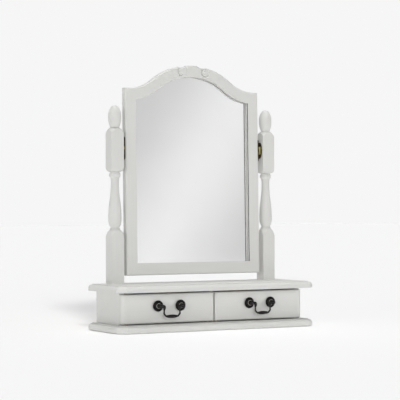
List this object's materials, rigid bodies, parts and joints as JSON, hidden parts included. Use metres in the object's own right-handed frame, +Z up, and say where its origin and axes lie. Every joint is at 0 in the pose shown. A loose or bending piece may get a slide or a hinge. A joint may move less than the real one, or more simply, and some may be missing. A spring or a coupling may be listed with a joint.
{
  "type": "dressing table mirror with drawers",
  "caption": "Free-standing dressing-table mirror: arched swing mirror between turned posts on a shallow case with drop-handle drawers.",
  "frame": {"origin": "on the table, under the middle of the base board", "axes": "+Z up, the drawers face -Y, +X to the viewer's right when facing the mirror"},
  "size_m": [0.5, 0.16, 0.5975],
  "materials": {
    "painted_wood": "satin pale grey-white paint",
    "bare_wood": "bare planed pine",
    "plywood": "thin plywood and hardboard, unfinished",
    "mirror": "silvered float glass",
    "steel": "zinc-plated",
    "brass": "antique brass",
    "black_iron": "satin black lacquer on cast metal"
  },
  "bodies": {
    "stand": {"base_board": "painted_wood", "top_board": "painted_wood", "side_panel_left": "painted_wood", "side_panel_right": "painted_wood", "centre_divider": "bare_wood", "back_panel": "plywood", "case_screws": "steel", "top_dowels": "bare_wood", "back_panel_pins": "steel", "post_screws": "steel", "post_left": "painted_wood", "post_right": "painted_wood", "post_plate_left": "brass", "post_plate_right": "brass", "swivel_pin_left": "brass", "swivel_pin_right": "brass", "swivel_washer_left": "steel", "swivel_washer_right": "steel", "post_plate_screws_left": "brass", "post_plate_screws_right": "brass"},
    "mirror": {"frame_stile_left": "painted_wood", "frame_stile_right": "painted_wood", "frame_bottom_rail": "painted_wood", "frame_top_rail": "painted_wood", "frame_dowels": "bare_wood", "mirror_glass": "mirror", "mirror_backing": "plywood", "backing_clips": "steel", "clip_screws": "steel", "frame_plate_left": "brass", "frame_plate_right": "brass", "frame_plate_screws_left": "brass", "frame_plate_screws_right": "brass"},
    "drawer_left": {"drawer_front_left": "painted_wood", "drawer_inner_side_left": "bare_wood", "drawer_outer_side_left": "bare_wood", "drawer_back_left": "bare_wood", "drawer_bottom_left": "plywood", "drawer_dowels_left": "bare_wood", "drawer_pins_left": "steel", "handle_rosettes_left": "black_iron", "handle_nuts_left": "steel"},
    "bail_left": {"handle_bail_left": "black_iron"},
    "drawer_right": {"drawer_front_right": "painted_wood", "drawer_inner_side_right": "bare_wood", "drawer_outer_side_right": "bare_wood", "drawer_back_right": "bare_wood", "drawer_bottom_right": "plywood", "drawer_dowels_right": "bare_wood", "drawer_pins_right": "steel", "handle_rosettes_right": "black_iron", "handle_nuts_right": "steel"},
    "bail_right": {"handle_bail_right": "black_iron"}
  },
  "joints": [
    {"name": "mirror_swivel", "type": "hinge", "parent": "stand", "child": "mirror", "pos_m": [0, 0.054, 0.4055], "axis": [1, 0, 0], "continuous": true},
    {"name": "drawer_left_slide", "type": "slide", "parent": "stand", "child": "drawer_left", "axis": [0, -1, 0], "range_m": [0, 0.085]},
    {"name": "bail_left_hinge", "type": "hinge", "parent": "drawer_left", "child": "bail_left", "pos_m": [-0.11575, -0.0645, 0.057], "axis": [-1, 0, 0], "range_deg": [-30, 210]},
    {"name": "drawer_right_slide", "type": "slide", "parent": "stand", "child": "drawer_right", "axis": [0, -1, 0], "range_m": [0, 0.085]},
    {"name": "bail_right_hinge", "type": "hinge", "parent": "drawer_right", "child": "bail_right", "pos_m": [0.11575, -0.0645, 0.057], "axis": [-1, 0, 0], "range_deg": [-30, 210]}
  ]
}
